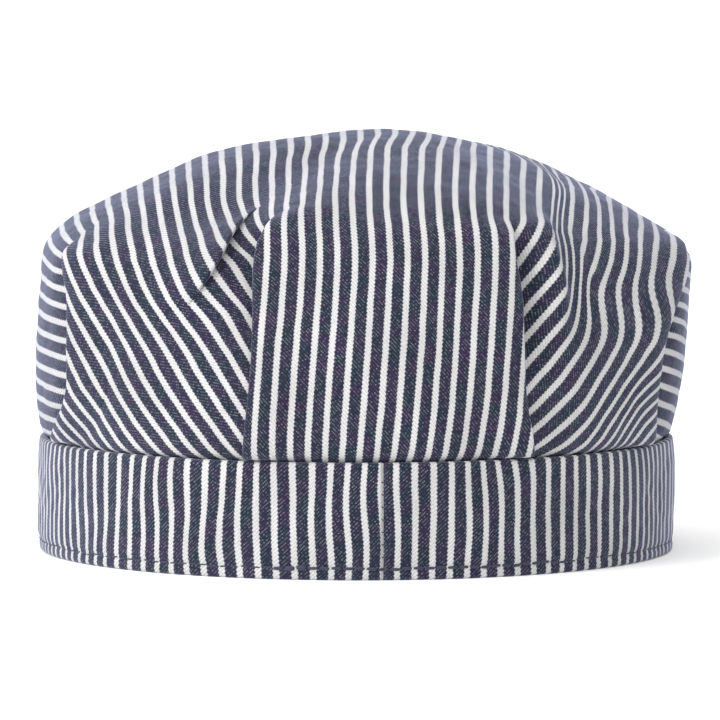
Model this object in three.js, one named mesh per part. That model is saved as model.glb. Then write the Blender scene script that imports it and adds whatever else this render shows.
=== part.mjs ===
// Railroad engineer cap of hickory-striped cloth: a crown gathered by eight pleats, a folded band, a visor.
// Millimetres, +Z up, the visor toward -Y and the cap standing on its rim at z = 0.

import * as THREE from "three";

// Rim and band
const rimLength = 190; // outside, front to back
const rimWidth = 179; // outside, side to side
const bandHeight = 32;
const bandWall = 2.4;
const frontLift = 9; // how far the middle of the front rim rises over the visor

// Crown
const crownRise = 86; // from the band's top edge to the top of the crown
const crownWall = 1.5;
const hemDepth = 6; // how far the crown's hem goes down behind the band
const foldStep = 2.4; // how far a pleat's folded edge stands over the cloth beside it
const foldWidth = 1.2; // how wide that step is along the wall
const pocketDepth = 7; // of the dents beside the tops of the pleats

// Visor
const visorReach = 62; // from the band to the middle of the visor's outer edge
const visorWall = 3;
const visorGround = 0.6; // height of its lowest points over the surface that the rim stands on

const seamGap = 0.3; // between pieces that are sewn together

// Directions are azimuths in degrees from the back of the cap, positive toward +X. Four pleats lie on each
// side: two at the corners of the back and front panels, and two at the corners of the side panel.
const panelPleat = 24;
const sidePleat = 67;
const visorHalfAngle = 64; // from the front to each end of the visor
const pleatAzimuths = [
  panelPleat, sidePleat, 180 - sidePleat, 180 - panelPleat,
  180 + panelPleat, 180 + sidePleat, 360 - sidePleat, 360 - panelPleat,
];

// Whether the cloth after each pleat starts, and ends, folded over its neighbour (1) or goes under it (0):
// a corner, a side panel, a corner, then the front or back panel.
const panelLaps = [{ start: 0, end: 1 }, { start: 0, end: 0 }, { start: 1, end: 0 }, { start: 1, end: 1 }];

// The crown's meridians, one every 45 degrees from the back. Each row is [out, up]: out is a share of the
// rim's own radius in that direction, up a share of the crown's rise above the band's top edge.
const backMeridian = [
  [0.995, 0.05], [1.0, 0.19], [0.985, 0.36], [0.95, 0.52], [0.885, 0.66], [0.79, 0.755], [0.64, 0.83],
  [0.44, 0.905], [0.22, 0.965],
];
const cornerMeridian = [
  [0.995, 0.05], [1.012, 0.18], [1.012, 0.34], [1.0, 0.49], [0.955, 0.61], [0.855, 0.705], [0.7, 0.795],
  [0.49, 0.885], [0.24, 0.96],
];
const leftMeridian = [
  [0.996, 0.05], [1.006, 0.18], [1.01, 0.34], [1.002, 0.49], [0.972, 0.635], [0.86, 0.73], [0.68, 0.82],
  [0.46, 0.915], [0.22, 0.973],
];
const rightMeridian = [
  [1.01, 0.05], [1.03, 0.18], [1.05, 0.34], [1.07, 0.49], [1.04, 0.605], [0.89, 0.71], [0.715, 0.81],
  [0.51, 0.91], [0.26, 0.975],
];
const crownMeridians = [
  backMeridian, cornerMeridian, leftMeridian, cornerMeridian, backMeridian, cornerMeridian, rightMeridian,
  cornerMeridian,
];

// Pockets where the cloth sinks in beside the tops of the pleats. Azimuth and width are in degrees, up and
// height are shares of the crown's rise, depth is a share of pocketDepth.
const pockets = [
  { azimuth: 30, up: 0.52, width: 9, height: 0.17, depth: 1.0 },
  { azimuth: -29, up: 0.5, width: 8, height: 0.2, depth: 0.9 },
  { azimuth: 73, up: 0.55, width: 7, height: 0.12, depth: 0.5 },
  { azimuth: -73, up: 0.52, width: 7, height: 0.14, depth: 0.6 },
  { azimuth: 107, up: 0.55, width: 7, height: 0.12, depth: 0.5 },
  { azimuth: -107, up: 0.52, width: 7, height: 0.14, depth: 0.6 },
  { azimuth: 150, up: 0.52, width: 9, height: 0.17, depth: 0.9 },
  { azimuth: -150, up: 0.52, width: 9, height: 0.17, depth: 0.9 },
];

// Shares of the crown's rise at which the pleats' steps are open, start to close, and have run out.
const foldsOpen = 0.08;
const foldsFade = 0.45;
const foldsEnd = 0.74;

const visorDroop = 0.55; // how much of the front's lift the visor has lost at its outer edge
const visorSplay = 0.28; // how far its sides run apart, as a share of how far they reach
const visorEnd = 0.995; // share of its half angle at which its ends are cut square

// How finely the surfaces are divided
const columnsInPanel = 6;
const crownRows = 20;
const insideRows = 12;
const rimColumns = 72;
const visorColumns = 28;
const visorRows = 8;
const slopeStep = 0.01;

const cloth = {
  crown: new THREE.MeshStandardMaterial({ color: 0x6f7391, roughness: 0.92, metalness: 0 }),
  band: new THREE.MeshStandardMaterial({ color: 0x666a89, roughness: 0.92, metalness: 0 }),
  visor: new THREE.MeshStandardMaterial({ color: 0x5f6382, roughness: 0.92, metalness: 0 }),
};

function smoothstep(low, high, value) {
  const share = Math.min(1, Math.max(0, (value - low) / (high - low)));
  return share * share * (3 - 2 * share);
}

function catmullRom(before, from, to, after, share) {
  const slope = (to - before) / 2;
  const nextSlope = (after - from) / 2;
  const rise = to - from;
  const square = share * share;
  return from + slope * share + (3 * rise - 2 * slope - nextSlope) * square
    + (slope + nextSlope - 2 * rise) * square * share;
}

// Turns -180 to 180 degrees into how far an azimuth lies from another.
function turnBetween(azimuth, other) {
  return ((azimuth - other + 540) % 360) - 180;
}

function rimRadius(azimuth) {
  const angle = THREE.MathUtils.degToRad(azimuth);
  return 1 / Math.hypot(Math.sin(angle) / (rimWidth / 2), Math.cos(angle) / (rimLength / 2));
}

function rimPoint(azimuth, inset, z) {
  const angle = THREE.MathUtils.degToRad(azimuth);
  const radius = rimRadius(azimuth) - inset;
  return [radius * Math.sin(angle), radius * Math.cos(angle), z];
}

// The front of the rim arches over the visor, and what stands on it rises with it, less toward the top.
function liftAt(azimuth, z) {
  const fromFront = Math.abs(turnBetween(azimuth, 180)) / visorHalfAngle;
  const arch = fromFront < 1 ? Math.cos((fromFront * Math.PI) / 2) ** 2 : 0;
  return frontLift * arch * (1 - z / (bandHeight + crownRise));
}

// Rows of vertices, each a closed ring, joined to one another, with a fan at an end that is a single point.
function closedShell(rings) {
  const positions = [];
  const starts = rings.map((ring) => {
    const start = positions.length / 3;
    ring.forEach((point) => positions.push(...point));
    return start;
  });
  const faces = [];
  rings.forEach((ring, row) => {
    const next = (row + 1) % rings.length;
    const count = Math.max(ring.length, rings[next].length);
    for (let column = 0; column < count; column += 1) {
      const onward = (column + 1) % count;
      const near = starts[row] + (ring.length > 1 ? column : 0);
      const nearOn = starts[row] + (ring.length > 1 ? onward : 0);
      const far = starts[next] + (rings[next].length > 1 ? column : 0);
      const farOn = starts[next] + (rings[next].length > 1 ? onward : 0);
      if (near !== nearOn) faces.push(near, far, nearOn);
      if (far !== farOn) faces.push(nearOn, far, farOn);
    }
  });
  const geometry = new THREE.BufferGeometry();
  geometry.setAttribute("position", new THREE.Float32BufferAttribute(positions, 3));
  geometry.setIndex(faces);
  geometry.computeVertexNormals();
  return geometry;
}

// A point of a meridian in shares, by the way along it from the band's top edge (0) to the top (1).
function meridianPoint(meridian, along) {
  const rows = [[1 - (bandWall + seamGap) / (rimWidth / 2), 0], ...meridian, [0, 1]];
  const beyond = [-meridian[meridian.length - 1][0], meridian[meridian.length - 1][1]];
  const place = along * (rows.length - 1);
  const row = Math.min(rows.length - 2, Math.floor(place));
  const before = rows[Math.max(0, row - 1)];
  const after = row + 2 < rows.length ? rows[row + 2] : beyond;
  return [0, 1].map((column) => catmullRom(
    before[column], rows[row][column], rows[row + 1][column], after[column], place - row,
  ));
}

function crownShares(azimuth, along) {
  const spacing = 360 / crownMeridians.length;
  const place = (((azimuth % 360) + 360) % 360) / spacing;
  const station = Math.floor(place);
  const around = [-1, 0, 1, 2].map((step) => {
    const index = (station + step + crownMeridians.length) % crownMeridians.length;
    return meridianPoint(crownMeridians[index], along);
  });
  return [0, 1].map((column) => catmullRom(
    around[0][column], around[1][column], around[2][column], around[3][column], place - station,
  ));
}

function pocketAt(azimuth, up) {
  return pockets.reduce((sum, pocket) => {
    const across = turnBetween(azimuth, pocket.azimuth) / pocket.width;
    const above = (up - pocket.up) / pocket.height;
    return sum + pocketDepth * pocket.depth * Math.exp(-(across * across + above * above));
  }, 0);
}

// The crown's columns of vertices: where each lies, and how far its cloth stands over what is beside it.
function crownColumns() {
  const columns = [];
  pleatAzimuths.forEach((pleat, index) => {
    const halfStep = THREE.MathUtils.radToDeg(foldWidth / rimRadius(pleat)) / 2;
    const nextPleat = index + 1 < pleatAzimuths.length ? pleatAzimuths[index + 1] : pleatAzimuths[0] + 360;
    const { start, end } = panelLaps[index % panelLaps.length];
    for (let step = 0; step <= columnsInPanel; step += 1) {
      const share = step / columnsInPanel;
      const azimuth = THREE.MathUtils.lerp(pleat + halfStep, nextPleat - halfStep, share);
      columns.push({ azimuth, over: THREE.MathUtils.lerp(start, end, share) });
    }
  });
  return columns;
}

// A ring of the crown's cloth at one height, as far inside its outer side as inset says.
function crownRing(columns, along, inset, folded) {
  return columns.map(({ azimuth, over }) => {
    const [out, up] = crownShares(azimuth, along);
    const [lowerOut, lowerUp] = crownShares(azimuth, along - slopeStep);
    const radius = rimRadius(azimuth);
    const slope = new THREE.Vector2((out - lowerOut) * radius, (up - lowerUp) * crownRise).normalize();
    const open = smoothstep(0, foldsOpen, up);
    const fold = folded ? foldStep * over * open * (1 - smoothstep(foldsFade, foldsEnd, up)) : 0;
    const raise = fold - pocketAt(azimuth, up) * open - inset;
    const reach = out * radius + slope.y * raise;
    const z = bandHeight + up * crownRise - slope.x * raise;
    const angle = THREE.MathUtils.degToRad(azimuth);
    return [reach * Math.sin(angle), reach * Math.cos(angle), z + liftAt(azimuth, z)];
  });
}

function crownHem(columns, inset, z) {
  return columns.map(({ azimuth }) => rimPoint(azimuth, bandWall + seamGap + inset, z + liftAt(azimuth, z)));
}

function buildCrown() {
  const columns = crownColumns();
  const hemHeights = [bandHeight - hemDepth, bandHeight];
  const outer = hemHeights.map((z) => crownHem(columns, 0, z));
  const inner = hemHeights.map((z) => crownHem(columns, crownWall, z));
  for (let row = 1; row < crownRows; row += 1) {
    outer.push(crownRing(columns, row / crownRows, 0, true));
  }
  for (let row = 1; row < insideRows; row += 1) {
    inner.push(crownRing(columns, row / insideRows, crownWall, false));
  }
  const top = bandHeight + crownRise;
  return closedShell([...outer, [[0, 0, top]], [[0, 0, top - crownWall]], ...inner.reverse()]);
}

function buildBand() {
  const azimuths = Array.from({ length: rimColumns }, (_, column) => (column * 360) / rimColumns);
  const ring = (inset, z) => azimuths.map((azimuth) => rimPoint(azimuth, inset, z + liftAt(azimuth, z)));
  const round = bandWall / 4;
  return closedShell([
    ring(round, 0), ring(0, round), ring(-round, bandHeight / 2), ring(0, bandHeight - round),
    ring(round, bandHeight), ring(bandWall - round, bandHeight), ring(bandWall, bandHeight - round),
    ring(bandWall, round), ring(bandWall - round, 0),
  ]);
}

// A point of the visor: across runs -1 to 1 along its root, out 0 to 1 from its root to its outer edge.
function visorPoint(across, out, upper) {
  const azimuth = 180 + across * visorHalfAngle;
  const root = rimPoint(azimuth, -bandWall / 4 - seamGap, 0);
  const reach = visorReach * Math.sqrt(Math.max(0, 1 - across * across));
  const splay = visorSplay * (root[0] / (rimWidth / 2));
  const z = visorGround + liftAt(azimuth, 0) * (1 - visorDroop * out * out) + (upper ? visorWall : 0);
  return [root[0] + reach * out * splay, root[1] - reach * out, z];
}

function buildVisor() {
  const rows = Array.from({ length: visorRows + 1 }, (_, row) => row / visorRows);
  const acrossSteps = Array.from({ length: visorColumns + 1 }, (_, column) => {
    return -Math.cos((column / visorColumns) * Math.PI) * visorEnd;
  });
  const section = (across) => [
    ...rows.map((out) => visorPoint(across, out, true)),
    ...rows.slice().reverse().map((out) => visorPoint(across, out, false)),
  ];
  const ends = [-visorEnd, visorEnd].map((across) => [
    visorPoint(across, 0.5, true).map((value, axis) => (value + visorPoint(across, 0.5, false)[axis]) / 2),
  ]);
  return closedShell([ends[0], ...acrossSteps.map(section), ends[1]]);
}

const cap = new THREE.Group();
for (const [name, geometry] of [["crown", buildCrown()], ["band", buildBand()], ["visor", buildVisor()]]) {
  const piece = new THREE.Mesh(geometry, cloth[name]);
  piece.name = name;
  cap.add(piece);
}

// The origin is the middle of the cap's box, on the surface that the rim stands on.
const box = new THREE.Box3().setFromObject(cap);
cap.position.set(-(box.min.x + box.max.x) / 2, -(box.min.y + box.max.y) / 2, 0);

export default cap;
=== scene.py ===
"""Railroad engineer cap seen from behind: a gathered crown, a folded band and a visor of hickory stripe."""
import math

import bpy
import numpy as np
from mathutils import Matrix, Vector


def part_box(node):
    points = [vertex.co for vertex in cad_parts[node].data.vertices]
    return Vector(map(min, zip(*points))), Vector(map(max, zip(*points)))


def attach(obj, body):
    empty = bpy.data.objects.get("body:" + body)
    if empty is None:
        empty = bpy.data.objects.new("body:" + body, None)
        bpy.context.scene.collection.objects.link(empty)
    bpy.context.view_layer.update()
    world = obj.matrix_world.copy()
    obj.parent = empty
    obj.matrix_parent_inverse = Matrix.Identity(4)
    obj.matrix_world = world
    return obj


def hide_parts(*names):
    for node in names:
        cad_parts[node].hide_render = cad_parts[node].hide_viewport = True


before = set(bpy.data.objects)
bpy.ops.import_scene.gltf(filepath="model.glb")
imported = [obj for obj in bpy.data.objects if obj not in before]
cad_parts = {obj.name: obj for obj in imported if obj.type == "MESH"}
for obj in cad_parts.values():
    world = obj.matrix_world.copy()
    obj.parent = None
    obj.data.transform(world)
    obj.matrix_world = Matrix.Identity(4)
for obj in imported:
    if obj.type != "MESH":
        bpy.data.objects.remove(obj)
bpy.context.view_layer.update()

# Lengths are millimetres about the middle of the rim, the visor toward -Y, and become metres in add_mesh.
MM = 0.001

# Driving sizes
BAND_HEIGHT = 32.0
BAND_WALL = 2.4
BAND_PUFF = 0.6  # how far the band swells between its edges
FRONT_LIFT = 9.0  # how far the middle of the front rim rises over the visor
VISOR_HALF_ANGLE = 64.0
SEAM_GAP = 0.3
HEM_DEPTH = 6.0
CLOTH = 0.9  # thickness of one layer

band_low, band_high = (np.array(corner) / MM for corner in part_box("band"))
RIM_MIDDLE = (band_low + band_high) / 2 * (1, 1, 0)
RIM_HALF_WIDTH, RIM_HALF_LENGTH = ((band_high - band_low) / 2 - BAND_PUFF)[:2]
CROWN_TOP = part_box("crown")[1][2] / MM
CROWN_RISE = CROWN_TOP - BAND_HEIGHT

# Hickory stripe cloth
STRIPE_PITCH = 4.8
WHITE_SHARE = 0.345
YARN = STRIPE_PITCH / 13  # from one yarn to the next across the cloth
PICK = 0.36  # from one yarn to the next along the cloth

RIPPLE_WAVES = 9  # in a random field


def smoothstep(low, high, value):
    share = np.clip((value - low) / (high - low), 0, 1)
    return share * share * (3 - 2 * share)


def between(value, low, low_margins, high, high_margins):
    """One between low and high. It starts and ends smoothly, within margins below and above them."""
    started = smoothstep(low - low_margins[0], low + low_margins[1], value)
    return started * (1 - smoothstep(high - high_margins[0], high + high_margins[1], value))


def half_turns(azimuth):
    """The same azimuth between -180 and 180 degrees."""
    return (azimuth + 540) % 360 - 180


def rim_radius(azimuth):
    angle = np.radians(azimuth)
    return 1 / np.hypot(np.sin(angle) / RIM_HALF_WIDTH, np.cos(angle) / RIM_HALF_LENGTH)


def lift_at(azimuth, z):
    """How far the front of the rim arches over the visor, and what stands on it too, less toward the top."""
    from_front = np.clip(np.abs(half_turns(azimuth - 180)) / VISOR_HALF_ANGLE, 0, 1)
    return FRONT_LIFT * np.cos(from_front * math.pi / 2) ** 2 * (1 - z / CROWN_TOP)


def place(azimuth, radius, z):
    """Points from azimuths in degrees from the back, positive toward +X."""
    angle = np.radians(azimuth)
    x, y, z = np.broadcast_arrays(radius * np.sin(angle), radius * np.cos(angle), z + lift_at(azimuth, z))
    return np.stack([x, y, z], -1)


def ripple(across, along, seed, wavelength):
    """A smooth random field of about unit size, the same each run."""
    random = np.random.default_rng(seed)
    field = 0
    for _ in range(RIPPLE_WAVES):
        heading, phase = random.uniform(0, 2 * math.pi, 2)
        turns = 2 * math.pi / (wavelength * random.uniform(0.7, 1.8))
        field = field + np.sin(turns * (across * math.cos(heading) + along * math.sin(heading)) + phase)
    return field / math.sqrt(RIPPLE_WAVES / 2)


def wrinkles(across, along, layers):
    """Random fields added up. Each layer is a height, a seed and a wavelength."""
    return sum(height * ripple(across, along, seed, wavelength) for height, seed, wavelength in layers)


def hermite(share, start, start_slope, end, end_slope):
    """Values on smooth curves from start to end, whose slopes are given for the whole step."""
    square, cube = share**2, share**3
    return (
        (2 * cube - 3 * square + 1) * start
        + (cube - 2 * square + share) * start_slope
        + (3 * square - 2 * cube) * end
        + (cube - square) * end_slope
    )


def cubic_read(values, places):
    """Catmull-Rom curves through the values along their first axis, straight past their ends."""
    padded = np.concatenate([2 * values[:1] - values[1:2], values, 2 * values[-1:] - values[-2:-1]])
    index = np.clip(np.floor(places).astype(int), 0, len(values) - 2)
    share = places - index
    shape = np.broadcast_shapes(index.shape[1:], values.shape[1:])
    index = np.broadcast_to(index, (len(index), *shape))
    before, start, end, after = (np.take_along_axis(padded, index + step, axis=0) for step in range(4))
    start_slope, end_slope = (end - before) / 2, (after - start) / 2
    curve = hermite(share, start, start_slope, end, end_slope)
    straight = np.where(share < 0, start + start_slope * share, end + end_slope * (share - 1))
    return np.where((share < 0) | (share > 1), straight, curve)


# Form of the crown. Each row is a meridian: its azimuth, the place of its shoulder as shares of the rim's
# radius and of the crown's rise, how far the wall swells below it, how round the shoulder is, and the power
# of the roof's curve above it.
SHOULDERS = np.array([
    # azimuth, out, up, belly, soft, dome
    (-180, 0.79, 0.765, 0.045, 0.10, 1.85),
    (-156, 0.84, 0.74, 0.030, 0.10, 1.85),
    (-120, 0.98, 0.64, 0.020, 0.10, 1.70),
    (-90, 1.068, 0.613, 0.014, 0.06, 1.55),
    (-62, 1.04, 0.64, 0.025, 0.09, 1.65),
    (-40, 0.93, 0.66, 0.035, 0.10, 1.80),
    (-26, 0.86, 0.735, 0.035, 0.08, 1.90),
    (0, 0.79, 0.765, 0.045, 0.10, 1.80),
    (24, 0.80, 0.755, 0.040, 0.08, 1.85),
    (38, 0.93, 0.61, 0.030, 0.10, 1.95),
    (62, 1.01, 0.66, 0.020, 0.09, 2.40),
    (90, 0.983, 0.657, 0.016, 0.05, 2.80),
    (120, 0.98, 0.64, 0.020, 0.10, 2.40),
    (156, 0.84, 0.74, 0.030, 0.10, 1.90),
])
KNOTS = np.concatenate([SHOULDERS[-2:, 0] - 360, SHOULDERS[:, 0], SHOULDERS[:2, 0] + 360])
FORMS = np.concatenate([SHOULDERS[-2:, 1:], SHOULDERS[:, 1:], SHOULDERS[:2, 1:]])
SLOPES = np.gradient(FORMS, KNOTS, axis=0)
WALL_SHARE = 0.46  # of the way up a meridian that is wall
WALL_POWER = 1.6  # of the wall's curve toward the shoulder
BELLY_POWER = 0.8  # below one, the wall swells most under its middle
SHOULDER_SAMPLES = 9  # places whose weighted mean makes the shoulder round
SHOULDER_EDGE_WEIGHT = 0.2  # of the outermost of them
SHOULDER_EASE = 0.12  # of a meridian, at both of its ends, over which the samples spread
OVER_BAND = ((0.6, 0.012), (0.4, 0.15))  # parts of the way out over the band, and how much wall each takes
NORMAL_STEP = 0.01  # along a meridian, to measure its direction
RISE_START = 0.025  # share of the rise over which folds start above the band
LEAN = 12.0  # how far the top sits toward -X
LEAN_START = 0.6  # share of the rise from which it does

# Pleats and one crease, in order round the cap: the azimuths at five equal steps from the band to the fold's
# top, the shares of the rise between which the cloth is folded, the height of the folded edge, and on which
# side the cloth lies over the other (-1 before the pleat, 1 after it).
PLEATS = [
    # azimuths from low to high, bottom, top, height, over
    (24, 22.8, 22.8, 24.4, 26.0, -1, 0.765, 2.2, -1),
    (58, 52, 42.5, 32.0, 34.5, 0.50, 0.775, 1.4, 1),
    (76, 64, 62.7, 63.5, 67.6, -1, 0.66, 2.4, -1),
    (104, 114, 116, 115, 112, -1, 0.66, 2.4, 1),
    (156, 157, 156, 154, 154, -1, 0.75, 2.2, 1),
    (204, 203, 204, 206, 206, -1, 0.75, 2.2, -1),
    (256, 246, 244, 245, 248, -1, 0.66, 2.4, -1),
    (300.5, 303.2, 301.5, 294, 286.5, -1, 0.67, 2.4, 1),
    (334, 336.0, 335.8, 334.6, 334.8, -1, 0.74, 2.2, 1),
]
PANELS = range(len(PLEATS))  # each starts at its own pleat
LEFT_POCKET, LEFT_CORNER, LEFT_SIDE, FRONT_LEFT, FRONT_RIGHT, RIGHT_SIDE, RIGHT_CORNER = 0, 1, 2, 3, 5, 6, 7

# Pockets and ridges of the panels. Each runs between two shares of the rise, at a distance from its panel's
# start (0) or end (1), and is this wide toward that pleat and away from it.
RELIEFS = [
    # panel, side, low, high, distance, toward, away, height
    (LEFT_POCKET, 0, 0.42, 0.74, 0, 9, 9, -5.5),
    (LEFT_SIDE, 0, 0.05, 0.60, 0, 9, 9, -3.0),
    (RIGHT_SIDE, 1, 0.03, 0.58, 0, 13, 13, -7.0),
    (RIGHT_CORNER, 1, 0.30, 0.70, 0, 8, 8, -6.0),
    (RIGHT_CORNER, 1, 0.45, 0.76, 13.5, 8, 2.2, 3.0),
    (FRONT_LEFT, 1, 0.35, 0.70, 0, 9, 9, -4.0),
    (FRONT_RIGHT, 0, 0.35, 0.70, 0, 9, 9, -4.0),
]
RELIEF_START = (0.12, 0.08)  # shares of the rise below and above its lower end over which a relief starts
RELIEF_END = (0.06, 0.03)  # the same at its upper end
FOLD_START = (0.04, 0.05)  # the same for a fold
FOLD_END = (0.05, 0.02)
FOLD_ROUND = 0.75  # radius of the folded edge
FOLD_UNDER = 3.5  # how far the cloth beside it goes under
FOLD_SPREAD = 1.2  # how far the fold's columns reach where the pleat has run out
FOLD_SPREAD_SHARE = 0.06  # the most that this may be of the panels beside it
FOLD_FADE = 20.0  # how far from its edge a panel still stands on the folded cloth


def shoulder_at(azimuth):
    """What the table of shoulders says at each azimuth, on smooth curves through its rows."""
    azimuth = half_turns(azimuth)
    index = np.searchsorted(KNOTS, azimuth, side="right") - 1
    width = (KNOTS[index + 1] - KNOTS[index])[..., None]
    share = (azimuth - KNOTS[index])[..., None] / width
    return hermite(share, FORMS[index], width * SLOPES[index], FORMS[index + 1], width * SLOPES[index + 1])


def meridian(azimuth, along):
    """Out and up, as shares, of the crown's cloth before its folds and creases."""
    out, up, belly, soft, dome = np.moveaxis(shoulder_at(azimuth), -1, 0)
    seat = 1 - (BAND_WALL + SEAM_GAP) / RIM_HALF_WIDTH
    reach = soft * np.minimum(1, np.minimum(along, 1 - along) / SHOULDER_EASE)
    total_out, total_up, total = 0, 0, 0
    for step in np.linspace(-1, 1, SHOULDER_SAMPLES):
        weight = 1 - (1 - SHOULDER_EDGE_WEIGHT) * step**2
        here = np.clip(along + step * reach, 0, 1)
        wall = np.clip(here / WALL_SHARE, 0, 1)
        roof = np.clip((1 - here) / (1 - WALL_SHARE), 0, 1)
        behind = sum(part * np.exp(-wall / height) for part, height in OVER_BAND)
        wall_out = seat + belly * np.sin(math.pi * wall**BELLY_POWER) + (1 - seat) * (1 - behind)
        on_wall = here < WALL_SHARE
        total_out += weight * np.where(on_wall, wall_out + (out - 1) * wall**WALL_POWER, out * roof)
        total_up += weight * np.where(on_wall, up * wall, up + (1 - up) * (1 - roof**dome))
        total += weight
    return total_out / total, total_up / total


def relief(panel, start, end, up):
    """How far the pockets and ridges of a panel move its cloth outward, at distances from its two pleats."""
    raised = 0 * start
    for of_panel, side, low, high, distance, toward, away, height in RELIEFS:
        if of_panel != panel:
            continue
        aside = (end if side else start) - distance
        window = between(up, low, RELIEF_START, high, RELIEF_END)
        if distance:
            window = window * smoothstep(0, distance / 2, np.minimum(start, end))
        raised = raised + height * window * np.exp(-((aside / np.where(aside < 0, toward, away)) ** 2))
    return raised


def crown_surface(azimuth, along, raised=0.0):
    """Points of the crown's cloth, raised along its normal."""
    out, up = meridian(azimuth, along)
    out_low, up_low = meridian(azimuth, np.clip(along - NORMAL_STEP, 0, 1))
    out_high, up_high = meridian(azimuth, np.clip(along + NORMAL_STEP, 0, 1))
    radius = rim_radius(azimuth)
    run_out, run_up = (out_high - out_low) * radius, (up_high - up_low) * CROWN_RISE
    length = np.hypot(run_out, run_up) + 1e-9
    rise = raised * smoothstep(0, RISE_START, up)
    reach = out * radius + run_up / length * rise
    points = place(azimuth, reach, BAND_HEIGHT + up * CROWN_RISE - run_out / length * rise)
    points[..., 0] -= LEAN * smoothstep(LEAN_START, 1, up)
    return points


def pleat_azimuths(along):
    """The azimuths of each pleat along the meridians, with the first pleat repeated a turn later."""
    columns = []
    for *azimuths, _, top, _, _ in PLEATS:
        _, shoulder, _, _, dome = shoulder_at(np.array(azimuths[-1]))
        roof = min(1, (1 - top) / (1 - shoulder)) ** (1 / dome)
        top_along = min(WALL_SHARE * top / shoulder, 1 - roof * (1 - WALL_SHARE))
        places = 4 * np.clip(along / top_along, 0, 1)
        columns.append(cubic_read(np.array(azimuths, dtype=float), places))
    columns.append(columns[0] + 360)
    return np.array(columns)


# The crown's cloth laid flat. The form is cut along its pleats, up to their tops, and unrolled so that each
# triangle keeps its shape as far as it can.
PANEL_STEPS = 8
MERIDIAN_STEPS = 40
FLATTEN_ROUNDS = 60
SETTLE_STEPS = 90
WEIGHT_LIMITS = (0.02, 20)
PIN_WEIGHT = 1000
EDGES = ((1, 2), (2, 0), (0, 1))  # the corners at the ends of the edge opposite to each corner
CLOTH_TURN = 5.0  # degrees between the stripes and the line from front to back
CLOTH_SHIFT = -0.9  # how far the cloth's stripes are shifted across

RIDGE_BEND = 51.0  # degrees by which the slides toward -X have turned away from the back at the top
RIDGE_BEND_START = 0.70  # share of the rise from which they turn
RIDGE_BEND_FULL = -40.0  # the azimuth from which they turn fully
NOT_RIGHT_SIDE = set(PANELS) - {RIGHT_SIDE}

# Where the gathers have pulled the cloth sideways. Each slide rises between the first two azimuths and fades
# between the last two, and does the same over four shares of the rise.
SLIDES = [
    # panels, azimuths, shares of the rise, slide
    ((LEFT_POCKET, LEFT_CORNER), (64, 24, 20, 0), (-1, -0.5, 0.30, 0.60), 5.0),
    ((LEFT_POCKET, LEFT_CORNER), (37, 25, 20, 0), (0.35, 0.50, 0.64, 0.78), 3.0),
    (PANELS, (62, 40, 34, 12), (0.66, 0.82, 0.92, 0.98), -1.5),
    (PANELS, (40, 10, -40, -75), (0.60, 0.88, 0.95, 1.0), -2.4),
    ((RIGHT_SIDE,), (-34, -42, -100, -140), (-1, -0.5, 0.88, 0.98), -10.0),
    ((RIGHT_SIDE,), (-42, -60, -100, -140), (-1, -0.5, 0.88, 0.98), -4.4),
    (NOT_RIGHT_SIDE, (-34, -42, -100, -140), (0.33, 0.56, 0.88, 0.98), -10.0),
    (NOT_RIGHT_SIDE, (-42, -60, -100, -140), (0.42, 0.68, 0.88, 0.98), -4.4),
    ((RIGHT_CORNER,), (-24, -40, -45, -52), (-1, -0.5, 0.10, 0.35), 2.4),
    ((RIGHT_CORNER,), (-36, -56, -70, -80), (-1, -0.5, 0.05, 0.30), -8.5),
]


def panel_frames(along):
    """Azimuth of each panel's start, its span in degrees and its width, along the meridians."""
    pleats = pleat_azimuths(along)
    spans = np.diff(pleats, axis=0)
    middles = pleats[:-1] + spans / 2
    points = crown_surface(middles, along)
    return pleats[:-1], spans, np.radians(spans) * np.hypot(points[..., 0], points[..., 1])


def coarse_crown():
    """Points, azimuths and heights of the crown on a grid of panels, steps across each, and steps up."""
    along = np.linspace(0, 1, MERIDIAN_STEPS + 1)
    starts, spans, widths = panel_frames(along)
    across = np.linspace(0, 1, PANEL_STEPS + 1)[None, :, None]
    azimuth = starts[:, None] + spans[:, None] * across
    up = meridian(azimuth, along)[1]
    distance = widths[:, None] * across
    raised = np.stack([
        relief(panel, distance[panel], widths[panel] - distance[panel], up[panel]) for panel in PANELS
    ])
    return crown_surface(azimuth, along, raised), azimuth, up


def welded_indices(up):
    """The number of each grid point's vertex: shared at the top, and across a pleat where it isn't folded."""
    index = np.arange(up.size).reshape(up.shape)
    for panel, (*_, bottom, top, _, _) in enumerate(PLEATS):
        open_rows = (up[panel, 0] > top) | (up[panel, 0] < bottom)
        index[panel, 0, open_rows] = index[panel - 1, -1, open_rows]
    index[:, :, -1] = index[0, 0, -1]
    kept, compact = np.unique(index, return_inverse=True)
    return kept, compact.reshape(index.shape)


def grid_triangles(index):
    """Two triangles for each cell of the panels' grids, but none that has a corner twice."""
    corner, right = index[:, :-1, :-1], index[:, 1:, :-1]
    above, across = index[:, :-1, 1:], index[:, 1:, 1:]
    first = np.stack([corner, right, across], -1).reshape(-1, 3)
    second = np.stack([corner, across, above], -1).reshape(-1, 3)
    faces = np.concatenate([first, second])
    return faces[(np.diff(np.sort(faces)) > 0).all(1)]


def laid_flat(points, faces):
    """Each triangle laid flat by itself, with its first corner at the origin and its outside up."""
    corners = points[faces]
    edge, other = corners[:, 1] - corners[:, 0], corners[:, 2] - corners[:, 0]
    length = np.linalg.norm(edge, axis=1)
    x_axis = edge / length[:, None]
    normal = np.cross(edge, other)
    y_axis = np.cross(normal / np.linalg.norm(normal, axis=1)[:, None], x_axis)
    local = np.zeros((len(faces), 3, 2))
    local[:, 1, 0] = length
    local[:, 2, 0] = (other * x_axis).sum(1)
    local[:, 2, 1] = -(other * y_axis).sum(1)
    return local


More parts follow.
